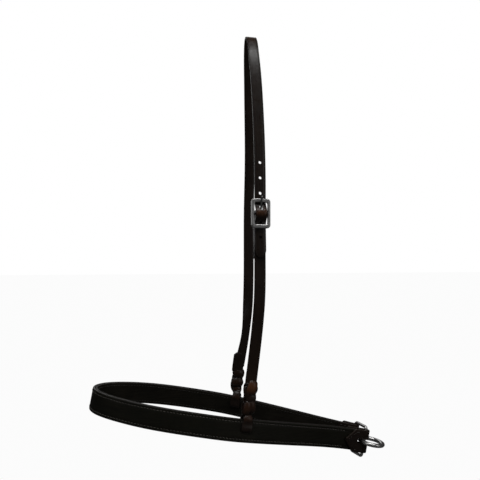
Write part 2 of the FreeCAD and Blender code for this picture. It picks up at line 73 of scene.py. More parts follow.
# ---------------------------------------------------------------- sizes shared with the part
STRAP_WIDTH = 12.7
STRAP_THICK = 2.4
LEATHER_GAP = 0.1
DROP = 428.0
KNOT_X = -9.2
NEAR_SIDE = [  # height over the noseband, forward offset from the knot, distance from the middle
    (7.0, 0.5, 45.4), (40.0, 3.3, 47.0), (87.0, 8.6, 49.0), (126.0, 12.0, 50.2),
    (171.0, 13.4, 50.6), (208.0, 13.0, 49.6), (255.0, 13.4, 46.4), (300.0, 13.5, 40.6),
    (350.0, 12.7, 31.8), (386.0, 11.4, 24.0), (408.0, 10.3, 17.0), (421.5, 9.8, 10.0),
    (427.6, 9.3, 4.6),
]
FAR_SIDE = [
    (7.0, -0.6, 56.4), (40.0, 3.0, 55.2), (71.0, 9.2, 53.8), (108.0, 12.7, 51.8),
    (168.0, 13.9, 50.8), (230.0, 13.7, 48.4), (294.0, 14.0, 41.5), (350.0, 12.3, 31.8),
    (386.0, 10.9, 24.0), (408.0, 9.8, 17.0), (421.5, 9.2, 10.0), (427.6, 9.1, 4.6),
]
HEADSTALL_TURN = 8.0       # degrees about the vertical
FAR_TWIST = 28.0           # degrees that the far cheek turns about its own line
TWIST_HEIGHT = 78.0
TWIST_REACH = 50.0
NOSEBAND_WIDTH = 24.6
PLY = 2.75
NOSEBAND_SLOPE = 10.6
SIDE_OUTLINE = [
    (-168.6, 0.0), (-162.6, 17.1), (-142.0, 33.6), (-109.2, 46.3), (-50.8, 51.7),
    (-14.5, 49.8), (19.6, 41.9), (67.1, 26.9), (108.0, 14.4),
]
NEAR_SPREAD = 0.97
FAR_SPREAD = 1.15
NEAR_END = (138.6, -9.3)
FAR_END = (131.6, 10.6)
SIDE_LEAN = 9.0
LEAN_TO_NOSE = 168.0
LEAN_TO_CHIN = 100.0
DROOP = 1.4
STITCH_INSET = 3.2
SLIT_DROP = 12.2
SLIT_LENGTH = 12.8         # 13.2 x 3.6 in the part
SLIT_HEIGHT = 3.0
LOOP_CLEAR = 0.45
LOOP_TOP = 5.5
LOOP_PINCH = 1.4           # from the middle to each leg, where the loop enters the knot
SWING_HEIGHT = 4.5
LOBE_COUNT = 3
LOBE_PITCH = 11.0
FIRST_LOBE = 14.9
KNOT_TAB_TOP = 54.0
CHAPE_WIDTH = 26.8
CHAPE_THICK = 2.6
CHAPE_OUTER = 26.0
CHAPE_INNER = 21.0
CHAPE_POINT = 12.0
END_GAP = 9.8
CHAPE_SLOT = 6.2           # height, 7.6 in the part
SLOT_OUTER_REACH = 10.4    # behind the bar, through the outer leg
SLOT_INNER_REACH = 7.5     # 10.4 in the part
SLOT_AHEAD = 8             # in front of the bar, through the fold
LINK_WIRE = 3.6
BUCKLE_HEIGHT_UP = 223.3
CENTRE_BAR = 2.6
CENTRE_BAR_OUT = 0.9
TONGUE_EYE_WIDTH = 2.8
BULGE_HALF = 13.0
TAIL_LENGTH = 48.0
HOLE_RADIUS = 1.7
HOLE_PITCH = 17.0
USED_HOLE = 8.4            # above the centre bar
USED_HOLE_SIZE = (3.4, 7.4)    # drawn long by the tongue
HOLES_ABOVE = 3
HOLES_BELOW = 2

FOLD_RADIUS = CENTRE_BAR / 2 + LEATHER_GAP + STRAP_THICK / 2
STRAP_STEP = STRAP_THICK + LEATHER_GAP
SWING_POINT = np.array([KNOT_X, 0.0, SWING_HEIGHT - DROP])
HALF_NOSEBAND = NOSEBAND_WIDTH / 2
HEADSTALL_ANGLE = math.radians(HEADSTALL_TURN)
HEAD_ACROSS = -np.array([math.cos(HEADSTALL_ANGLE), math.sin(HEADSTALL_ANGLE), 0.0])


# ---------------------------------------------------------------- lines in space
class Line:
    """Smooth line through points, measured by its length."""

    def __init__(self, points, per_span=24):
        points = np.asarray(points, float)
        chords = np.linalg.norm(np.diff(points, axis=0), axis=1)
        knots = np.concatenate([[0.0], np.cumsum(chords)])
        slopes = spline_slopes(points, knots)
        rows = []
        for k, chord in enumerate(chords):
            t = np.arange(per_span)[:, None] / per_span
            rows.append(hermite(points[k], points[k + 1], slopes[k], slopes[k + 1], chord, t))
        rows.append(points[-1:])
        self.points = np.vstack(rows)
        steps = np.linalg.norm(np.diff(self.points, axis=0), axis=1)
        self.stations = np.concatenate([[0.0], np.cumsum(steps)])
        self.length = self.stations[-1]
        tangents = np.gradient(self.points, self.stations, axis=0)
        self.tangents = unit(tangents)

    def at(self, distance):
        return interpolate(distance, self.stations, self.points)

    def along(self, distance):
        return unit(interpolate(distance, self.stations, self.tangents))

    def frames(self, distance, across):
        """Points, width directions and outward directions at lengths along the line."""
        along = self.along(distance)
        wide = unit(across - along * (along @ across)[:, None])
        return self.at(distance), wide, np.cross(wide, along)

    def frame(self, distance, across):
        """Point, width direction and outward direction at one length along the line."""
        return tuple(row[0] for row in self.frames(np.array([distance]), across))


def unit(vectors):
    return vectors / np.linalg.norm(vectors, axis=-1, keepdims=True)


def upward(direction):
    return direction if direction[2] > 0 else -direction


def rolled(points, wide, out, angle):
    """Frames turned about their own line, by an angle for each point."""
    angle = angle[:, None]
    return (points, wide * np.cos(angle) - out * np.sin(angle),
            out * np.cos(angle) + wide * np.sin(angle))


def interpolate(distance, stations, values):
    return np.stack([np.interp(distance, stations, values[:, k]) for k in range(3)], axis=-1)


def hermite(start, end, start_slope, end_slope, span, t):
    return ((2 * t**3 - 3 * t**2 + 1) * start + (t**3 - 2 * t**2 + t) * span * start_slope
            + (3 * t**2 - 2 * t**3) * end + (t**3 - t**2) * span * end_slope)


def end_slope(points, knots):
    """Slope at the first point of the cubic through the first four."""
    local = knots[:4] - knots[0]
    return np.linalg.solve(np.vander(local, 4, increasing=True), points[:4])[1]


def spline_slopes(points, knots):
    """Slopes of the cubic spline through the points."""
    count = len(points)
    span = np.diff(knots)
    rise = np.diff(points, axis=0) / (span**2)[:, None]
    matrix = np.eye(count)
    right = np.zeros_like(points)
    right[0] = end_slope(points, knots)
    right[-1] = -end_slope(points[::-1], (knots[-1] - knots)[::-1])
    for k in range(1, count - 1):
        before, after = 1 / span[k - 1], 1 / span[k]
        matrix[k, k - 1:k + 2] = (before, 2 * (before + after), after)
        right[k] = 3 * (rise[k - 1] + rise[k])
    return np.linalg.solve(matrix, right)


def smooth_step(share):
    share = np.clip(share, 0.0, 1.0)
    return share * share * (3 - 2 * share)


def stations_between(start, end, step, rounding):
    """Lengths along a strap, close together where its two ends are rounded over."""
    count = max(4, round(abs(end - start) / step))
    edge = rounding * np.array([0.0, 0.04, 0.15, 0.35, 0.65, 1.0])
    inside = np.linspace(start + rounding, end - rounding, count)[1:-1]
    return np.concatenate([start + edge, inside, end - edge[::-1]])


# ---------------------------------------------------------------- meshes
def new_object(name, data):
    made = bpy.data.objects.new(name, data)
    bpy.context.scene.collection.objects.link(made)
    return made


def new_piece(name, vertices, faces, material, marks=None):
    """Mesh object from points in mm. marks are values per point that the material reads."""
    mesh = bpy.data.meshes.new(name)
    mesh.from_pydata([tuple(v) for v in np.asarray(vertices) * MM], [], faces)
    for mark, values in (marks or {}).items():
        attribute = mesh.attributes.new(mark, "FLOAT", "POINT")
        attribute.data.foreach_set("value", np.asarray(values, np.float32))
    made = bmesh.new()
    made.from_mesh(mesh)
    bmesh.ops.recalc_face_normals(made, faces=made.faces)
    made.to_mesh(mesh)
    made.free()
    mesh.shade_smooth()
    mesh.materials.append(material)
    return new_object(name, mesh)


def strap_section(columns, crease):
    """Outline of a strap's section, as (side, inset, face, depth, edge mark, pressed) in order.

    Inset and depth are shares of the corner radius, or mm across the strap at a crease. Pressed is
    how deep a crease goes, in mm.
    """
    outline = []
    for side, face, first in ((1, 1, 0), (-1, 1, 90), (-1, 0, 180), (1, 0, 270)):
        for step in range(5):
            angle = math.radians(first + 22.5 * step)
            mark = abs(math.cos(angle)) ** 0.5
            depth = math.sin(angle) - (2 * face - 1)
            outline.append((side, math.cos(angle) - side, face, depth, mark, 0.0))
        if first == 0:
            shares = np.linspace(1, -1, columns + 2)[1:-1]
            outline += creased(1, crease)
            outline += [(share, 0.0, 1, 0.0, 0.0, 0.0) for share in shares]
            outline += creased(-1, crease)[::-1]
        if first == 180:
            shares = np.linspace(-1, 1, columns + 2)[1:-1]
            outline += [(share, 0.0, 0, 0.0, 0.0, 0.0) for share in shares]
    return outline


def creased(side, crease):
    """Three points of the section across a crease line pressed into the outer face."""
    if not crease:
        return []
    inset, half, depth = crease
    return [(side, ("mm", -side * (inset + half * k)), 1, 0.0, 0.0, depth * (k == 0))
            for k in (-1, 0, 1)]


def strap(name, material, points, wide, out, width, inner, outer, radius=0.9, columns=9,
          crease=None, dome=0.0, pull_and_painted_light=0.0):
    """Leather strip with rounded edges, swept along points. Sizes may vary along it."""
    count = len(points)
    half, inner, outer, dome, pull_and_painted_light = (
        np.broadcast_to(np.asarray(value, float), count).copy()
        for value in (np.asarray(width) / 2, inner, outer, dome, pull_and_painted_light))
    shrink = end_shrink(points, radius)
    half -= shrink
    middle = (inner + outer) / 2
    thin = 1 - 0.8 * shrink / radius
    inner = middle + (inner - middle) * thin
    outer = middle + (outer - middle) * thin
    corner = np.minimum(np.minimum(radius, (outer - inner) * 0.48), half * 0.9)
    section = strap_section(columns, crease)
    rings, edge_mark, crease_mark = [], [], []
    for side, inset, face, depth, mark, pressed in section:
        if isinstance(inset, tuple):
            u = side * half + inset[1]
        elif abs(side) == 1:
            u = side * half + inset * corner
        else:
            u = side * (half - corner * 1.3 - (0 if not crease else crease[0] + crease[1]))
        v = np.where(face == 1, outer, inner) + depth * corner - pressed
        v = v - dome * (u / np.maximum(half, 0.1)) ** 2
        rings.append(points + wide * u[:, None] + out * v[:, None])
        edge_mark.append(np.full(count, mark))
        crease_mark.append(np.full(count, 1.0 if pressed else 0.0))
    size = len(section)
    vertices = np.stack(rings, axis=1).reshape(-1, 3)
    faces = []
    for i in range(count - 1):
        for k in range(size):
            after = (k + 1) % size
            faces.append((i * size + k, i * size + after,
                          (i + 1) * size + after, (i + 1) * size + k))
    faces.append(tuple(range(size)))
    faces.append(tuple((count - 1) * size + k for k in range(size))[::-1])
    marks = {"edge": np.stack(edge_mark, axis=1).ravel(),
             "crease": np.stack(crease_mark, axis=1).ravel(),
             "pull_and_painted_light": np.repeat(pull_and_painted_light, size)}
    return new_piece(name, vertices, faces, material, marks)


def end_shrink(points, radius):
    """How much a strap's section draws in near its two ends, for a rounded end."""
    steps = np.linalg.norm(np.diff(points, axis=0), axis=1)
    along = np.concatenate([[0.0], np.cumsum(steps)])
    near_end = np.minimum(along, along[-1] - along)
    inside = np.clip(1 - near_end / radius, 0, 1)
    return radius * (1 - np.sqrt(1 - inside**2))


def joined(name, pieces):
    """One piece from several that share a material."""
    made = bmesh.new()
    for piece in pieces:
        made.from_mesh(piece.data)
    mesh = pieces[0].data
    made.to_mesh(mesh)
    made.free()
    for piece in pieces[1:]:
        spare = piece.data
        bpy.data.objects.remove(piece)
        bpy.data.meshes.remove(spare)
    pieces[0].name = name
    mesh.name = name
    return pieces[0]


def cutter(outline, centre, across, up, through, depth=16.0):
    """Prism to cut with: an outline in the across and up directions, pushed both ways through."""
    ring = [centre + across * a + up * b for a, b in outline]
    near = [p - through * depth / 2 for p in ring]
    far = [p + through * depth / 2 for p in ring]
    count = len(ring)
    faces = [(k, (k + 1) % count, (k + 1) % count + count, k + count) for k in range(count)]
    faces += [tuple(range(count))[::-1], tuple(range(count, 2 * count))]
    marks = {"edge": np.ones(2 * count), "crease": np.zeros(2 * count),
             "pull_and_painted_light": np.zeros(2 * count)}
    return new_piece("cutter", near + far, faces, raw_edge, marks)


def circle_outline(radius, count=28):
    angles = [2 * math.pi * k / count for k in range(count)]
    return [(radius * math.cos(a), radius * math.sin(a)) for a in angles]


def slot_outline(length, height, corner, steps=5):
    """Rounded rectangle."""
    outline = []
    for a, b, first in ((1, 1, 0), (-1, 1, 90), (-1, -1, 180), (1, -1, 270)):
        for k in range(steps + 1):
            angle = math.radians(first + 90 * k / steps)
            outline.append((a * (length / 2 - corner) + corner * math.cos(angle),
                            b * (height / 2 - corner) + corner * math.sin(angle)))
    return outline


def cut(piece, cutters):
    """Cut holes and slits."""
    tool = joined("cutters", cutters)
    modifier = piece.modifiers.new("cut", "BOOLEAN")
    modifier.operation = "DIFFERENCE"
    modifier.solver = "EXACT"
    modifier.object = tool
    graph = bpy.context.evaluated_depsgraph_get()
    mesh = bpy.data.meshes.new_from_object(piece.evaluated_get(graph))
    piece.modifiers.clear()
    piece.data = mesh
    spare = tool.data
    bpy.data.objects.remove(tool)
    bpy.data.meshes.remove(spare)
    mesh.shade_smooth()
    mesh.set_sharp_from_angle(angle=math.radians(50))
    return piece


# ---------------------------------------------------------------- materials
def shader(name):
    """New material with its nodes, its links and its Principled shader."""
    material = bpy.data.materials.new(name)
    material.use_nodes = True
    nodes = material.node_tree.nodes
    return material, nodes, material.node_tree.links, nodes["Principled BSDF"]


def texture(nodes, links, kind, place, **values):
    """Procedural texture read at the object's own coordinates."""
    made = nodes.new("ShaderNodeTex" + kind)
    for socket, value in values.items():
        made.inputs[socket.replace("_", " ")].default_value = value
    links.new(place, made.inputs["Vector"])
    return made


def ramp(nodes, links, value, *stops):
    made = nodes.new("ShaderNodeValToRGB")
    spots = made.color_ramp.elements
    for k, (position, colour) in enumerate(stops):
        spot = spots[k] if k < 2 else spots.new(position)
        spot.position = position
        spot.color = (*colour, 1.0) if len(colour) == 3 else (colour[0],) * 3 + (1.0,)
    links.new(value, made.inputs["Fac"])
    return made.outputs["Color"]


def mixed(nodes, links, share, first, second, kind="MIX"):
    """Mix of two colours by a share that varies over the surface."""
    made = nodes.new("ShaderNodeMix")
    made.data_type = "RGBA"
    made.blend_type = kind
    for socket, value in ((0, share), (6, first), (7, second)):
        if isinstance(value, bpy.types.NodeSocket):
            links.new(value, made.inputs[socket])
        elif isinstance(value, tuple):
            made.inputs[socket].default_value = (*value, 1.0)
        else:
            made.inputs[socket].default_value = value
    return made.outputs[2]


def mark_of(nodes, name):
    made = nodes.new("ShaderNodeAttribute")
    made.attribute_name = name
    return made.outputs["Fac"]


def calculated(nodes, links, operation, first, second):
    made = nodes.new("ShaderNodeMath")
    made.operation = operation
    made.use_clamp = True
    for k, value in enumerate((first, second)):
        if isinstance(value, bpy.types.NodeSocket):
            links.new(value, made.inputs[k])
        else:
            made.inputs[k].default_value = value
    return made.outputs[0]


def bumped(nodes, links, strength, distance, height):
    made = nodes.new("ShaderNodeBump")
    made.inputs["Strength"].default_value = strength
    made.inputs["Distance"].default_value = distance
    links.new(height, made.inputs["Height"])
    return made


def leather(name, dark, light, edge, pull, roughness, grain, coat, specular, lie):
    """Waxed strap leather: mottled dye, fine pores, burnished edges, and paler where it is bent,
    which on the billet's bulge in the buckle window is painted highlight.
    """
    material, nodes, links, surface = shader(name)
    place = nodes.new("ShaderNodeTexCoord").outputs["Object"]
    cloud = texture(nodes, links, "Noise", place, Scale=38.0, Detail=6.0, Roughness=0.62)
    fibre = texture(nodes, links, "Noise", place, Scale=260.0, Detail=4.0, Roughness=0.7)
    pores = texture(nodes, links, "Voronoi", place, Scale=1500.0, Randomness=1.0)
    scuff = texture(nodes, links, "Noise", place, Scale=120.0, Detail=8.0, Roughness=0.75,
                    Distortion=1.2)
    drawn = nodes.new("ShaderNodeMapping")
    drawn.inputs["Scale"].default_value = lie
    links.new(place, drawn.inputs["Vector"])
    streak = texture(nodes, links, "Noise", drawn.outputs["Vector"], Scale=620.0, Detail=3.0,
                     Roughness=0.55)

    dye = ramp(nodes, links, cloud.outputs["Fac"], (0.32, dark), (0.7, light))
    share = ramp(nodes, links, fibre.outputs["Fac"], (0.42, (0.0,)), (0.72, (0.35,)))
    dye = mixed(nodes, links, share, dye, light)
    share = ramp(nodes, links, streak.outputs["Fac"], (0.45, (0.0,)), (0.68, (0.55,)))
    dye = mixed(nodes, links, share, dye, tuple(0.6 * c for c in dark))
    # Pull colour by its mark: paler grain at bends, and painted highlight on the billet's bulge in
    # the buckle window
    bent = calculated(nodes, links, "MULTIPLY", mark_of(nodes, "pull_and_painted_light"),
                      ramp(nodes, links, scuff.outputs["Fac"], (0.3, (0.45,)), (0.65, (1.0,))))
    dye = mixed(nodes, links, bent, dye, pull)
    worn = calculated(nodes, links, "MULTIPLY", mark_of(nodes, "edge"),
                      ramp(nodes, links, scuff.outputs["Fac"], (0.4, (0.55,)), (0.7, (1.0,))))
    dye = mixed(nodes, links, worn, dye, edge)
    dye = mixed(nodes, links, mark_of(nodes, "crease"), dye, tuple(0.35 * c for c in dark))
    links.new(dye, surface.inputs["Base Color"])

    smooth, rough = roughness
    gloss = ramp(nodes, links, scuff.outputs["Fac"], (0.3, (smooth,)), (0.75, (rough,)))
    share = ramp(nodes, links, streak.outputs["Fac"], (0.4, (0.0,)), (0.65, (0.6,)))
    gloss = mixed(nodes, links, share, gloss, (rough * 1.25,) * 3)
    gloss = mixed(nodes, links, worn, gloss, (smooth * 0.85,) * 3)
    links.new(gloss, surface.inputs["Roughness"])
    surface.inputs["Coat Weight"].default_value = coat
    surface.inputs["Coat Roughness"].default_value = 0.24
    surface.inputs["IOR"].default_value = 1.46
    surface.inputs["Specular IOR Level"].default_value = specular

    height = mixed(nodes, links, 0.45, pores.outputs["Distance"], fibre.outputs["Fac"])
    fine = bumped(nodes, links, grain, 0.00012, height)
    broad = bumped(nodes, links, 0.35, 0.0006, cloud.outputs["Fac"])
    links.new(broad.outputs["Normal"], fine.inputs["Normal"])
    links.new(fine.outputs["Normal"], surface.inputs["Normal"])
    return material


def waxed_thread():
    """Twisted linen thread, dark with wax and dye, and darker still by each row's mark as painted
    shade, most on inner faces.
    """
    material, nodes, links, surface = shader("waxed_thread")
    place = nodes.new("ShaderNodeTexCoord").outputs["Object"]
    patch = texture(nodes, links, "Noise", place, Scale=160.0, Detail=5.0)
    twist = texture(nodes, links, "Wave", place, Scale=900.0, Distortion=2.0, Detail=2.0)
    colour = ramp(nodes, links, patch.outputs["Fac"],
                  (0.3, (0.035, 0.030, 0.024)), (0.7, (0.085, 0.074, 0.060)))
    # Near-black by the row's mark: painted shade on the stitches of inner faces
    colour = mixed(nodes, links, mark_of(nodes, "pull_and_painted_light"), colour, (0.010, 0.008, 0.006))
    links.new(colour, surface.inputs["Base Color"])
    surface.inputs["Roughness"].default_value = 0.72
    surface.inputs["Sheen Weight"].default_value = 0.25
    bump = bumped(nodes, links, 0.6, 0.0001, twist.outputs["Fac"])
    links.new(bump.outputs["Normal"], surface.inputs["Normal"])
    return material


DULL_STEEL = (0.50, 0.495, 0.49)
BRIGHT_STEEL = (0.68, 0.675, 0.66)


def satin_steel(name, polish, painted_shade_factor=1.0):
    """Cast stainless steel, tumbled to a satin finish, with faint scratches and dull patches."""
    material, nodes, links, surface = shader(name)
    place = nodes.new("ShaderNodeTexCoord").outputs["Object"]
    patch = texture(nodes, links, "Noise", place, Scale=220.0, Detail=6.0, Roughness=0.6)
    scratch = texture(nodes, links, "Noise", place, Scale=1400.0, Detail=3.0, Distortion=2.5)
    # painted_shade_factor darkens the whole colour: painted shade on a piece of the same steel
    dull = [painted_shade_factor * c for c in DULL_STEEL]
    bright = [painted_shade_factor * c for c in BRIGHT_STEEL]
    colour = ramp(nodes, links, patch.outputs["Fac"], (0.25, dull), (0.75, bright))
    links.new(colour, surface.inputs["Base Color"])
    surface.inputs["Metallic"].default_value = 1.0
    rough = ramp(nodes, links, patch.outputs["Fac"], (0.3, (polish + 0.1,)), (0.7, (polish,)))
    links.new(rough, surface.inputs["Roughness"])
    bump = bumped(nodes, links, 0.25, 0.00008, scratch.outputs["Fac"])
    links.new(bump.outputs["Normal"], surface.inputs["Normal"])
    return material


# Which way the fibres are drawn out: along an upright strap, or along a level one
UPRIGHT = (1.0, 1.0, 0.06)
LEVEL = (0.08, 0.08, 1.0)

# Colours are linear: the dye's two shades, the burnished edge, and the paler grain of a bend, which
# on the billet's bulge in the buckle window is painted highlight
havana = leather(
    "havana_strap_leather", dark=(0.0105, 0.0064, 0.0046), light=(0.022, 0.0135, 0.0095),
    edge=(0.012, 0.0078, 0.006), pull=(0.150, 0.055, 0.020),
    roughness=(0.22, 0.36), grain=0.5, coat=0.14, specular=0.28, lie=UPRIGHT)
harness = leather(
    "harness_leather", dark=(0.0062, 0.0059, 0.0034), light=(0.0120, 0.0108, 0.0066),
    edge=(0.020, 0.0175, 0.0150), pull=(0.03, 0.02, 0.014),
    roughness=(0.45, 0.6), grain=0.55, coat=0.04, specular=0.18, lie=LEVEL)
chape_leather = leather(
    "chape_leather", dark=(0.0105, 0.0064, 0.0046), light=(0.020, 0.0125, 0.0090),
    edge=(0.034, 0.026, 0.020), pull=(0.03, 0.02, 0.014),
    roughness=(0.42, 0.58), grain=0.55, coat=0.05, specular=0.2, lie=LEVEL)
lining_leather = leather(
    "lining_leather", dark=(0.0078, 0.0068, 0.0044), light=(0.016, 0.0135, 0.0095),
    edge=(0.018, 0.0150, 0.0125), pull=(0.03, 0.02, 0.014),
    roughness=(0.55, 0.72), grain=0.8, coat=0.0, specular=0.16, lie=LEVEL)
raw_edge = havana
thread = waxed_thread()
steel = satin_steel("satin_steel", 0.26)
ring_steel = satin_steel("bright_steel", 0.2)
# The tongue is the buckle's own steel, darkened to 0.45 as painted shade
tongue_steel = satin_steel("tongue_steel", 0.3, 0.45)


# ---------------------------------------------------------------- headstall lines
def side_points(guide, sign):
    return [(KNOT_X + ahead, sign * spread, up - DROP) for up, ahead, spread in guide]


CROWN = (0, 0, STRAP_THICK / 2)
HEAD_LINE = Line(side_points(FAR_SIDE, 1) + [CROWN] + side_points(NEAR_SIDE, -1)[::-1])


def near_distance(height_up):
    """Length along the headstall line of a height on the near side."""
    half = HEAD_LINE.stations > HEAD_LINE.length / 2
    return np.interp(DROP - height_up, -HEAD_LINE.points[half][:, 2], HEAD_LINE.stations[half])


def far_distance(height_up):
    half = HEAD_LINE.stations < HEAD_LINE.length / 2
    return np.interp(height_up - DROP, HEAD_LINE.points[half][:, 2], HEAD_LINE.stations[half])


BUCKLE_AT = near_distance(BUCKLE_HEIGHT_UP)
TOP_LOBE = FIRST_LOBE + (LOBE_COUNT - 1) * LOBE_PITCH


def bulge(distance):
    """How far the billet stands off the centre line as it crosses the buckle's centre bar."""
    s = np.clip((distance - BUCKLE_AT) / BULGE_HALF, -1, 1)
    peak = CENTRE_BAR_OUT + FOLD_RADIUS + STRAP_STEP
    return peak / 2 * (1 + np.cos(np.pi * s))


def moved_out(line, distances, across, offset):
    points, _, out = line.frames(distances, across)
    return points + out * np.broadcast_to(offset, len(distances))[:, None]


def billet_line():
    """Crown strap's centre line: far knot to the tip of the tail."""
    start = far_distance(TOP_LOBE)
    distances = np.concatenate([np.linspace(start, BUCKLE_AT - 30, 70),
                                np.arange(BUCKLE_AT - 24, BUCKLE_AT + TAIL_LENGTH + 0.8, 1.6)])
    return Line(moved_out(HEAD_LINE, distances, HEAD_ACROSS, bulge(distances)), per_span=6)


def cheek_line():
    """Near cheek strap's centre line, from the knot up, round the centre bar and back down."""
    low = np.linspace(near_distance(TOP_LOBE), BUCKLE_AT + TAIL_LENGTH + 6, 21)
    taken = smooth_step((low - BUCKLE_AT - TAIL_LENGTH - 4) / 50)
    lower = moved_out(HEAD_LINE, low, HEAD_ACROSS, bulge(low) - STRAP_STEP * (1 - taken))
    high = np.arange(BUCKLE_AT - 2, BUCKLE_AT + TAIL_LENGTH + 2, 1.6)
    billet = Line(moved_out(HEAD_LINE, high, HEAD_ACROSS, bulge(high)), per_span=6)
    legs = billet.length * (1 - np.arange(19) / 20)
    front = moved_out(billet, legs, HEAD_ACROSS, -STRAP_STEP)
    back = moved_out(billet, legs[:13], HEAD_ACROSS, -2 * STRAP_STEP)
    point, _, out = HEAD_LINE.frame(BUCKLE_AT, HEAD_ACROSS)
    down = HEAD_LINE.along(np.array([BUCKLE_AT]))[0]
    centre = point + out * CENTRE_BAR_OUT
    turns = np.radians([75, 45, 15, -15, -45, -75, -100])[:, None]
    turned = centre + FOLD_RADIUS * (out * np.sin(turns) - down * np.cos(turns))
    return Line(np.vstack([lower, front[1:], turned, back[::-1]]), per_span=8)


# ---------------------------------------------------------------- headstall pieces
def twisted(points, wide, out):
    """Frames of the crown strap, turned about their own line low on the far side."""
    share = np.minimum(1.0, np.abs(points[:, 2] + DROP - TWIST_HEIGHT) / TWIST_REACH)
    angle = math.radians(FAR_TWIST) * np.cos(math.pi / 2 * share) ** 2
    return rolled(points, wide, out, np.where(points[:, 1] < 0, 0.0, angle))


def crown_strap():
    line = billet_line()
    distances = stations_between(0, line.length, 1.5, 1.1)
    points, wide, out = twisted(*line.frames(distances, HEAD_ACROSS))
    left = line.length - distances
    tip = np.sqrt(np.clip(1 - (1 - np.clip(left / 10.0, 0, 1)) ** 2.2, 0, 1))
    width = STRAP_WIDTH * np.maximum(tip, 0.28)
    # bent: the grain's pull where the billet bulges over the centre bar, set narrow and just under
    # the buckle's top bar as painted highlight
    bent = np.exp(-((left - TAIL_LENGTH - 3) / 3.6) ** 2)
    crown = np.exp(-((distances - HEAD_LINE.length / 2 + far_distance(TOP_LOBE)) / 16) ** 2)
    piece = strap("crown_strap_leather", havana, points, wide, out, width,
                  -STRAP_THICK / 2, STRAP_THICK / 2,
                  crease=(1.5, 0.28, 0.14), pull_and_painted_light=0.5 * bent + 0.22 * crown)
    cutters = []
    for k in range(-HOLES_BELOW, HOLES_ABOVE + 1):
        at = line.length - TAIL_LENGTH - USED_HOLE - k * HOLE_PITCH
        point, across, through = line.frame(at, HEAD_ACROSS)
        up = np.cross(through, across)
        size = circle_outline(HOLE_RADIUS) if k else slot_outline(*USED_HOLE_SIZE, 1.69)
        cutters.append(cutter(size, point, across, up, through))
    return cut(piece, cutters)


def near_cheek_strap():
    line = cheek_line()
    distances = stations_between(0, line.length, 1.3, 1.1)
    points, wide, out = line.frames(distances, -HEAD_ACROSS)
    fold_at = line.length - TAIL_LENGTH - 1
    bent = 0.4 * np.exp(-((distances - fold_at) / 6) ** 2) + 0.1 * np.exp(-distances / 35)
    piece = strap("near_cheek_strap_leather", havana, points, wide, out, STRAP_WIDTH,
                  -STRAP_THICK / 2, STRAP_THICK / 2, pull_and_painted_light=bent)
    point, across, through = HEAD_LINE.frame(BUCKLE_AT, HEAD_ACROSS)
    up = upward(np.cross(through, across))
    size = slot_outline(TONGUE_EYE_WIDTH + 0.8, 10.0, 1.5)
    return cut(piece, [cutter(size, point + up * 1.8, across, up, through)])


# ---------------------------------------------------------------- stitching
STITCH_PITCH = 3.5
STITCH_LENGTH = 2.7
THREAD_RADIUS = 0.4
THREAD_SIDES = 8
STITCH_SHARES = np.array([0.0, 0.1, 0.3, 0.5, 0.7, 0.9, 1.0])
STITCH_RISE = np.array([-0.62, -0.05, 0.13, 0.17, 0.13, -0.05, -0.62])
STITCH_SWELL = np.array([0.55, 0.85, 1.0, 1.04, 1.0, 0.85, 0.55])


def stitches(name, rows, slant=0.16, pitch=STITCH_PITCH):
    """Rows of stitches. Each row is (line, frames along it, start, end, painted shade: how much
    darker its thread is drawn).

    Each stitch is a short length of thread that rises from one hole and dives into the next.
    """
    vertices, faces, marks = [], [], []
    sides, rings = THREAD_SIDES, len(STITCH_SHARES)
    size = STITCH_SWELL * THREAD_RADIUS
    for line, wide_at, start, end, painted_shade in rows:
        count = max(1, int((end - start) / pitch))
        for k in range(count):
            begin = start + (k + 0.5) * (end - start) / count - STITCH_LENGTH / 2
            centre, wide, out = wide_at(line, begin + STITCH_SHARES * STITCH_LENGTH)
            aside = ((STITCH_SHARES - 0.5) * slant * STITCH_LENGTH)[:, None]
            centre = centre + out * STITCH_RISE[:, None] + wide * aside
            base = len(vertices)
            marks += [painted_shade] * (sides * rings)
            for i in range(rings):
                for j in range(sides):
                    angle = 2 * math.pi * j / sides
                    ring = wide[i] * math.cos(angle) + out[i] * math.sin(angle)
                    vertices.append(centre[i] + ring * size[i])
            for i in range(rings - 1):
                for j in range(sides):
                    a, b = base + i * sides + j, base + i * sides + (j + 1) % sides
                    faces.append((a, b, b + sides, a + sides))
            faces.append(tuple(base + j for j in range(sides)))
            last = base + (rings - 1) * sides
            faces.append(tuple(last + j for j in range(sides))[::-1])
    return new_piece(name, vertices, faces, thread, {"pull_and_painted_light": marks})


def cheek_stitching():
    """Two rows through the cheek strap and its turn-back, seen on the inner face."""
    rows = []
    inner = -2.5 * STRAP_STEP + LEATHER_GAP / 2

    def face_at(lift):
        def frame_of(line, distances):
            points, wide, out = line.frames(distances, HEAD_ACROSS)
            return points + wide * lift + out * inner, wide, -out
        return frame_of

    for side in (1, -1):
        lift = side * (STRAP_WIDTH / 2 - 2.4)
        # 0.6: painted shade on the inner face
        rows.append((HEAD_LINE, face_at(lift), BUCKLE_AT + 16, BUCKLE_AT + TAIL_LENGTH - 4, 0.6))
    return stitches("cheek_turn_back_stitches", rows)


# ---------------------------------------------------------------- noseband
def noseband_line():
    near = [(x, -y * NEAR_SPREAD) for x, y in SIDE_OUTLINE[:0:-1]]
    far = [(x, y * FAR_SPREAD) for x, y in SIDE_OUTLINE]
    outline = [NEAR_END] + near + far + [FAR_END]
    return Line([(x, y, -DROOP * (x / 150) ** 2) for x, y in outline])


NOSE_LINE = noseband_line()


def side_lean(x):
    """Inward lean of the noseband's upper edge, greatest at the knots."""
    reach = np.where(x > 0, LEAN_TO_CHIN, LEAN_TO_NOSE)
    share = np.minimum(1.0, np.abs(x) / reach)
    return math.radians(SIDE_LEAN) * np.cos(math.pi / 2 * share) ** 2


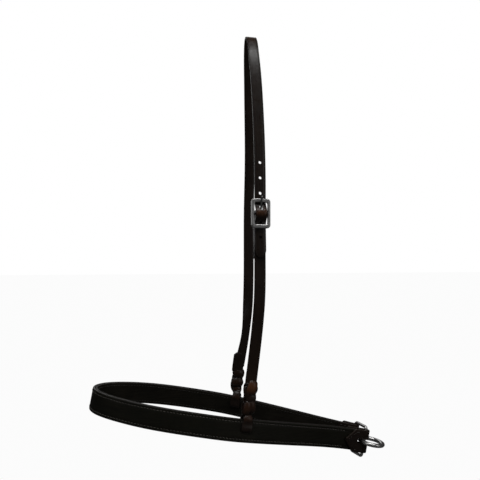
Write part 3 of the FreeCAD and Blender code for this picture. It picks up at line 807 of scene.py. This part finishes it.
def leaning_frames(line, distances):
    """Points and directions of the noseband's glue line, with its lean."""
    points, wide, out = line.frames(distances, Z_AXIS)
    return rolled(points, wide, out, side_lean(points[:, 0]))


SLOPE = Matrix.Rotation(math.radians(NOSEBAND_SLOPE), 3, "Y")
SLOPE_ROWS = np.array(SLOPE)


def onto_noseband(points):
    """Points built flat, with the noseband's mid height at z = 0, moved to its place and slope."""
    lifted = points + np.array([KNOT_X, 0, SWING_POINT[2] - HALF_NOSEBAND - SWING_HEIGHT])
    return (lifted - SWING_POINT) @ SLOPE_ROWS.T + SWING_POINT


def sloped(directions):
    return directions @ SLOPE_ROWS.T


def placed(frames):
    """Frames built flat, moved onto the noseband."""
    points, wide, out = frames
    return onto_noseband(points), sloped(wide), sloped(out)


def knot_frame(side):
    """Point, direction along the strap, outward direction and up at the knot's slit."""
    half = NOSE_LINE.stations < NOSE_LINE.length / 2
    if side > 0:
        half = ~half
    x = NOSE_LINE.points[half][:, 0] * side
    at = np.interp(0, x, NOSE_LINE.stations[half])
    point, wide, out = (row[0] for row in leaning_frames(NOSE_LINE, np.array([at])))
    return point, np.cross(out, wide), out, wide


def noseband_ply(name, material, inner, outer, crease):
    distances = stations_between(0, NOSE_LINE.length, 1.5, 1.0)
    points, wide, out = placed(leaning_frames(NOSE_LINE, distances))
    piece = strap(name, material, points, wide, out, NOSEBAND_WIDTH, inner, outer, radius=1.05,
                  columns=13, crease=crease)
    cutters = []
    for side in (-1, 1):
        point, along, through, up = knot_frame(side)
        middle = onto_noseband(point + up * (HALF_NOSEBAND - SLIT_DROP))
        size = slot_outline(SLIT_LENGTH, SLIT_HEIGHT, 1.4)
        cutters.append(cutter(size, middle, sloped(along), sloped(up), sloped(through)))
    return cut(piece, cutters)


def noseband_stitching(name, lift):
    """One row of stitches, seen on both faces, from chape to chape."""
    clear = CHAPE_OUTER - END_GAP + 1.5

    def face_at(offset):
        def frame_of(line, distances):
            points, wide, out = placed(leaning_frames(line, distances))
            return points + wide * lift + out * offset, wide, out * np.sign(offset)
        return frame_of

    ends = (clear, NOSE_LINE.length - clear)
    # Last values are painted shade: none on the outer face, 0.9 on the inner face
    outer = (NOSE_LINE, face_at(PLY - 0.12), *ends, 0.0)
    inner = (NOSE_LINE, face_at(0.2 - PLY), *ends, 0.9)
    return stitches(name, [outer, inner])


# ---------------------------------------------------------------- chin pieces
def chin_frame(side):
    """Bar centre, direction from the bar back along the strap, and outward direction."""
    at = 0.0 if side < 0 else NOSE_LINE.length
    point, _, out = NOSE_LINE.frame(at, Z_AXIS)
    along = NOSE_LINE.along(np.array([at]))[0]
    back = along if side < 0 else -along
    return point - back * END_GAP, back, out


def chape_line(side):
    """Outer leg, fold round the bar, inner leg, in plan."""
    bar, back, out = chin_frame(side)
    leg = PLY + LEATHER_GAP + CHAPE_THICK / 2
    fold_radius = (LINK_WIRE + CHAPE_THICK) / 2 + LEATHER_GAP

    def beside(from_bar, offset):
        distance = from_bar - END_GAP
        at = distance if side < 0 else NOSE_LINE.length - distance
        point, _, outward = NOSE_LINE.frame(at, Z_AXIS)
        return point + outward * offset

    points = [beside(CHAPE_OUTER - 5.2 * k, leg) for k in range(4)]
    points.append(bar + back * 4.5 + out * (fold_radius + 0.25))
    for degrees in (90, 60, 30, 0, -30, -60, -90):
        angle = math.radians(degrees)
        points.append(bar + out * fold_radius * math.sin(angle)
                      - back * fold_radius * math.cos(angle))
    points.append(bar + back * 4.5 - out * (fold_radius + 0.25))
    points += [beside(CHAPE_INNER - 3.6 * k, -leg) for k in range(3, -1, -1)]
    return Line(points, per_span=10)


def chape(side, name):
    """Folded leather end, spear-pointed on its outer face, that holds the chin link."""
    line = chape_line(side)
    distances = stations_between(0, line.length, 0.8, 1.0)
    points, wide, out = line.frames(distances, Z_AXIS * -side)
    width = CHAPE_WIDTH * np.clip((distances + 0.5) / CHAPE_POINT, 0.04, 1)
    fold_at = line.length * 0.56
    bent = np.exp(-((distances - fold_at) / 4.5) ** 2)
    piece = strap(name, chape_leather, onto_noseband(points), sloped(wide), sloped(out), width,
                  -CHAPE_THICK / 2, CHAPE_THICK / 2, radius=1.0, columns=13,
                  crease=(1.5, 0.25, 0.12), pull_and_painted_light=0.3 * bent)
    bar, back, outward = chin_frame(side)
    for face, behind in ((1, SLOT_OUTER_REACH), (-1, SLOT_INNER_REACH)):
        reach = SLOT_AHEAD + behind
        middle = onto_noseband(bar + back * (behind - reach / 2) + outward * (6.5 * face))
        size = slot_outline(reach, CHAPE_SLOT, 1.4)
        tool = cutter(size, middle, sloped(back), sloped(Z_AXIS), sloped(outward), depth=13.4)
        piece = cut(piece, [tool])
    return piece


def chape_stitching(side, name):
    """Stitches along both edges of the chape, and along the V of its outer leg."""
    length = NOSE_LINE.length
    face = PLY + LEATHER_GAP + CHAPE_THICK - 0.1
    rows = []

    def straight(lift, offset):
        def frame_of(line, distances):
            at = distances if side < 0 else length - distances
            points, wide, out = placed(line.frames(at, Z_AXIS))
            return points + wide * lift + out * offset, wide, out * np.sign(offset)
        return frame_of

    def slanting(up, start):
        def frame_of(line, distances):
            travelled = (distances - start) / math.hypot(1, rise)
            at = start + travelled if side < 0 else length - start - travelled
            points, wide, out = placed(line.frames(at, Z_AXIS))
            lift = up * (CHAPE_WIDTH / 2 - STITCH_INSET - travelled * rise)
            turned = unit(wide + sloped(np.array([-side * rise * up, 0, 0])) * 0.7)
            return points + wide * lift[:, None] + out * face, turned, out
        return frame_of

    rise = CHAPE_WIDTH / 2 / CHAPE_POINT
    turn = CHAPE_OUTER - END_GAP - 3.5 - (CHAPE_WIDTH / 2 - STITCH_INSET) / rise
    # Last values are painted shade: most on the inner leg, little on the outer edges, none on the V
    for up in (1, -1):
        lift = up * (CHAPE_WIDTH / 2 - STITCH_INSET)
        rows.append((NOSE_LINE, straight(lift, face), 0.4, turn, 0.2))
        rows.append((NOSE_LINE, straight(lift, -face), 0.4, CHAPE_INNER - END_GAP - 1.5, 0.9))
        rows.append((NOSE_LINE, slanting(up, turn), turn + 0.2, turn + 13.2, 0.0))
    return stitches(name, rows, slant=0.0, pitch=3.2)


# ---------------------------------------------------------------- bleed knots
def knot_directions(distance_of, height):
    """Point, across, out and up of the headstall line at a height in the knot."""
    point, wide, out = HEAD_LINE.frame(distance_of(height), HEAD_ACROSS)
    return point, wide, out, upward(np.cross(wide, out))


# Folds: height, place towards the chin, half height, rise, width, turn in degrees, grain's pull
NEAR_OUTER_FOLDS = [
    (35.0, 0.9, 7.6, 4.0, 11.4, 14, 0.85),
    (29.5, -3.6, 6.8, 2.4, 7.6, -12, 0.12),
    (22.8, 1.4, 5.2, 2.6, 11.6, 6, 0.05),
    (14.4, 2.9, 7.2, 4.0, 8.2, -9, 0.16),
    (13.0, -2.6, 7.8, 4.1, 8.8, 10, 0.26),
]
FAR_INNER_FOLDS = [
    (28.4, 0.3, 5.7, 3.9, 14.6, 7, 0.08),
    (17.4, -0.3, 6.0, 3.9, 15.0, -8, 0.12),
    (8.4, 0.2, 4.2, 2.4, 12.0, 4, 0.2),
]
HIDDEN_FOLDS = [
    (34.0, -0.5, 6.4, 3.2, 13.6, -8, 0.3),
    (23.4, 0.6, 6.0, 3.3, 14.0, 9, 0.35),
    (13.0, -0.4, 6.6, 3.4, 14.2, -6, 0.4),
]
# Spread legs: height, side, half height, reach
NEAR_LEGS = [
    (32.0, 1, 8.8, 4.3), (29.0, -1, 7.5, 1.3), (13.5, 1, 7.6, 1.7), (12.5, -1, 8.0, 2.3),
]
FAR_LEGS = [
    (28.4, 1, 5.2, 3.2), (28.8, -1, 5.2, 3.2), (17.6, 1, 5.4, 3.4), (18.0, -1, 5.4, 3.6),
    (9.0, -1, 4.6, 1.6),
]


def fold(place, face, ahead, half_height, rise, width, turn, pull):
    """Domed fold of strap that comes out of the knot, bulges and dives back in."""
    point, wide, out, up = place
    outward = out * face
    turns = np.radians(np.linspace(-42, 222, 36))
    turned = math.radians(turn)
    across = wide * math.cos(turned) + up * math.sin(turned)
    along = up * math.cos(turned) - wide * math.sin(turned)
    lifted = np.sin(turns)
    points = (point - wide * ahead + along * (half_height * np.cos(turns))[:, None]
              + outward * (rise * lifted)[:, None])
    tangent = unit(np.gradient(points, axis=0))
    spread = np.broadcast_to(across, tangent.shape)
    normal = np.cross(spread, tangent)
    normal = normal * np.sign(np.sum(normal * outward, axis=1) * lifted + 1e-6).mean()
    full = np.clip(lifted, 0, 1)
    return strap("fold", havana, points, spread, normal, width * (0.74 + 0.26 * full ** 0.7),
                 -STRAP_THICK / 2 + 0.1, STRAP_THICK / 2 - 0.1, radius=0.95,
                 dome=1.0 + 0.6 * full, pull_and_painted_light=pull * full ** 1.5)


def strand(place, side, half_height, reach):
    """Half-width leg of the slit strap, spread sideways round the strap that passes through."""
    point, wide, out, up = place
    share = np.linspace(-1, 1, 22)
    sideways = -side * (2.6 + reach * np.cos(share * math.pi / 2) ** 1.4)
    outwards = 2.2 * np.sin(share * math.pi / 2)
    points = (point + up * (half_height * share)[:, None]
              + wide * sideways[:, None] + out * outwards[:, None])
    tangent = unit(np.gradient(points, axis=0))
    roll = math.radians(62) * np.cos(share * math.pi / 2)[:, None] * -side
    spread = wide * np.cos(roll) - out * np.sin(roll)
    spread = unit(spread - tangent * np.sum(spread * tangent, axis=1, keepdims=True))
    normal = np.cross(spread, tangent)
    return strap("strand", havana, points, spread, normal, 5.6,
                 -STRAP_THICK / 2 + 0.15, STRAP_THICK / 2 - 0.15, radius=0.95, columns=4,
                 dome=0.4, pull_and_painted_light=0.12 * np.cos(share * math.pi / 2) ** 2)


def bleed_knot(distance_of, outer_folds, inner_folds, legs):
    """The strap's own end woven through slits in itself: folds and spread legs by turns."""
    pieces = []
    for face, folds in ((1, outer_folds), (-1, inner_folds)):
        for height, *shape in folds:
            pieces.append(fold(knot_directions(distance_of, height), face, *shape))
    for height, *shape in legs:
        pieces.append(strand(knot_directions(distance_of, height), *shape))
    return pieces


def knot_tab(distance_of, start, ahead, lean):
    """The end of the strap, lying against its inner face above the knot."""
    heights = (start, KNOT_TAB_TOP)
    ends = sorted(float(distance_of(h)) for h in heights)
    distances = stations_between(*ends, 0.9, 1.0)
    points, wide, out = HEAD_LINE.frames(distances, HEAD_ACROSS)
    risen = np.abs(distances - float(distance_of(heights[0]))) / (heights[1] - heights[0])
    points = points - wide * (ahead + lean * risen)[:, None]
    left = (1 - risen) * (heights[1] - heights[0])
    width = STRAP_WIDTH * np.clip(0.55 + left / 6, 0.55, 1)
    inner = -STRAP_THICK / 2 - LEATHER_GAP
    return strap("tab", havana, points, wide, out, width, inner - STRAP_THICK, inner)


def knot_loop(name, side):
    """Turn of strap down the outer face, through the slit, and up the inner face into the knot."""
    point, along, out, up = knot_frame(side)
    gap = PLY + LOOP_CLEAR + STRAP_THICK / 2
    low = HALF_NOSEBAND - SLIT_DROP
    high = HALF_NOSEBAND + LOOP_TOP + 1.5
    guide = [(LOOP_PINCH, high), (gap - 0.2, high - 3.2), (gap + 1.0, high - 6.6),
             (gap + 0.15, high - 10.0), (gap, low + 5.0), (gap - 0.15, low + 1.6),
             (gap - 1.7, low - 0.15), (gap - 3.4, low), (0.0, low)]
    guide += [(-a, b) for a, b in guide[-2::-1]]
    line = Line([point + out * a + up * b for a, b in guide], per_span=10)
    distances = stations_between(0, line.length, 0.7, 1.0)
    points, wide, outward = line.frames(distances, along)
    from_end = np.minimum(distances, line.length - distances)
    width = STRAP_WIDTH * np.interp(from_end, (0.0, 2.8, 7.2, 9.8, 12.5),
                                    (0.72, 0.62, 0.86, 0.84, 1.0))
    pulled = np.exp(-((from_end - 6.4) / 3.4) ** 2)
    seen = np.where(distances < line.length / 2, 1.0, 0.6)
    return strap(name, havana, onto_noseband(points), sloped(wide), sloped(outward), width,
                 -STRAP_THICK / 2, STRAP_THICK / 2, radius=0.9, dome=0.15 + 0.9 * pulled,
                 pull_and_painted_light=0.2 * pulled * seen)


# ---------------------------------------------------------------- assembly
def set_piece(piece, body, slot, *nodes):
    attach(piece, body)
    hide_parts(*nodes)


def build():
    row_lift = HALF_NOSEBAND - STITCH_INSET
    set_piece(crown_strap(), "headstall", "strap_leather", "crown_strap")
    set_piece(near_cheek_strap(), "headstall", "strap_leather", "near_cheek_strap")
    set_piece(cheek_stitching(), "headstall", "thread", "cheek_turn_back_stitching")
    near_knot = bleed_knot(near_distance, NEAR_OUTER_FOLDS, HIDDEN_FOLDS, NEAR_LEGS)
    near_knot.append(knot_tab(near_distance, 26.0, 0.6, 0.0))
    far_knot = bleed_knot(far_distance, HIDDEN_FOLDS, FAR_INNER_FOLDS, FAR_LEGS)
    far_knot.append(knot_tab(far_distance, 31.0, -2.6, -1.6))
    for side, place, knot in ((-1, "near", near_knot), (1, "far", far_knot)):
        knot = joined(place + "_bleed_knot_leather", knot)
        set_piece(knot, "headstall", "strap_leather", place + "_bleed_knot")
        loop = knot_loop(place + "_knot_loop_leather", side)
        set_piece(loop, "noseband", "strap_leather", place + "_knot_loop")
        folded = chape(side, place + "_chape_leather")
        set_piece(folded, "noseband", "noseband_leather", place + "_chape")
        sewn = chape_stitching(side, place + "_chape_stitches")
        set_piece(sewn, "noseband", "thread", place + "_chape_stitching")
    groove = (STITCH_INSET, 0.55, 0.22)
    outer = noseband_ply("noseband_outer_leather", harness, 0.04, PLY, groove)
    set_piece(outer, "noseband", "noseband_leather", "noseband_outer_ply")
    inner = noseband_ply("noseband_lining_leather", lining_leather, -PLY, -0.04, None)
    set_piece(inner, "noseband", "lining_leather", "noseband_lining")
    top = noseband_stitching("noseband_top_stitches", row_lift)
    set_piece(top, "noseband", "thread", "noseband_top_stitching")
    bottom = noseband_stitching("noseband_bottom_stitches", -row_lift)
    set_piece(bottom, "noseband", "thread", "noseband_bottom_stitching")


def dress_steel():
    """The steel pieces keep their own shapes and get their materials."""
    for node, material in (("buckle_frame", steel), ("buckle_tongue", tongue_steel),
                           ("chin_link", steel), ("tie_down_ring", ring_steel)):
        piece = frame["nodes"][node]
        piece.data.materials.clear()
        piece.data.materials.append(material)
        piece.data.shade_smooth()
        piece.data.set_sharp_from_angle(angle=math.radians(35))


# ---------------------------------------------------------------- stage, lights and camera
CAMERA_AT = (-0.0951, -0.6951, -0.2332)
CAMERA_TURN = 6.8          # degrees, towards +X from straight along +Y
CAMERA_LENS = 45.3
FLOOR_REACH = 6.0
FLOOR_GAP = 0.12           # below the lowest point of the part
FLOOR_GLOW = 0.97          # as the camera sees it
SURROUND_LIGHT = 0.055     # that the white surround sheds on the part
LIGHTS = [  # name, place, aim, size, power
    ("overhead", (0.15, -0.72, 1.2), (0, 0, -0.2), (1.5, 0.36), 12),
    ("rear_fill", (0.0, 1.1, 0.9), (0, 0, -0.4), (1.6, 0.8), 3),
    ("behind", (-0.5, 1.8, 0.1), (0, 0, -0.25), (1.2, 0.8), 3),
    ("front_left", (-1.3, -1.2, 0.5), (0, 0, -0.25), (0.9, 1.3), 2.6),
    ("front_right", (1.2, -1.1, 0.1), (0, 0, -0.3), (0.6, 1.2), 1.8),
]


def area_light(name, place, aim, size, power):
    data = bpy.data.lights.new(name, "AREA")
    data.shape = "RECTANGLE"
    data.size, data.size_y = size
    data.energy = power
    light = new_object(name, data)
    light.location = place
    light.rotation_euler = (Vector(aim) - Vector(place)).to_track_quat("-Z", "Y").to_euler()


def stage():
    """Plain floor: nearly white to the camera, and dim in the light that it gives back."""
    mesh = bpy.data.meshes.new("floor")
    reach = FLOOR_REACH
    height = cad_box[0].z - FLOOR_GAP
    mesh.from_pydata([(-reach, -reach, height), (reach, -reach, height), (reach, reach, height),
                      (-reach, reach, height)], [], [(0, 1, 2, 3)])
    floor = new_object("floor", mesh)
    material, nodes, links, surface = shader("pale_floor")
    surface.inputs["Base Color"].default_value = (0.12, 0.12, 0.12, 1.0)
    surface.inputs["Specular IOR Level"].default_value = 0.0
    glow = nodes.new("ShaderNodeEmission")
    glow.inputs["Strength"].default_value = FLOOR_GLOW
    both = nodes.new("ShaderNodeMixShader")
    links.new(nodes.new("ShaderNodeLightPath").outputs["Is Camera Ray"], both.inputs[0])
    links.new(surface.outputs[0], both.inputs[1])
    links.new(glow.outputs[0], both.inputs[2])
    links.new(both.outputs[0], nodes["Material Output"].inputs["Surface"])
    mesh.materials.append(material)


def world():
    """White surround for the camera, dim for the light that it gives."""
    made = bpy.data.worlds.new("studio")
    bpy.context.scene.world = made
    made.use_nodes = True
    nodes, links = made.node_tree.nodes, made.node_tree.links
    seen = nodes.new("ShaderNodeLightPath").outputs["Is Camera Ray"]
    strength = nodes.new("ShaderNodeMapRange")
    strength.inputs["To Min"].default_value = SURROUND_LIGHT
    strength.inputs["To Max"].default_value = 1.0
    links.new(seen, strength.inputs["Value"])
    links.new(strength.outputs["Result"], nodes["Background"].inputs["Strength"])
    nodes["Background"].inputs["Color"].default_value = (1.0, 1.0, 1.0, 1.0)


def camera():
    data = bpy.data.cameras.new("camera")
    data.lens = CAMERA_LENS
    data.clip_start = 0.01
    made = new_object("camera", data)
    made.location = CAMERA_AT
    made.rotation_euler = (math.radians(90), 0, math.radians(-CAMERA_TURN))
    bpy.context.scene.camera = made


camera()
world()
stage()
for light in LIGHTS:
    area_light(*light)
bpy.context.scene.view_settings.view_transform = "Standard"

build()
dress_steel()
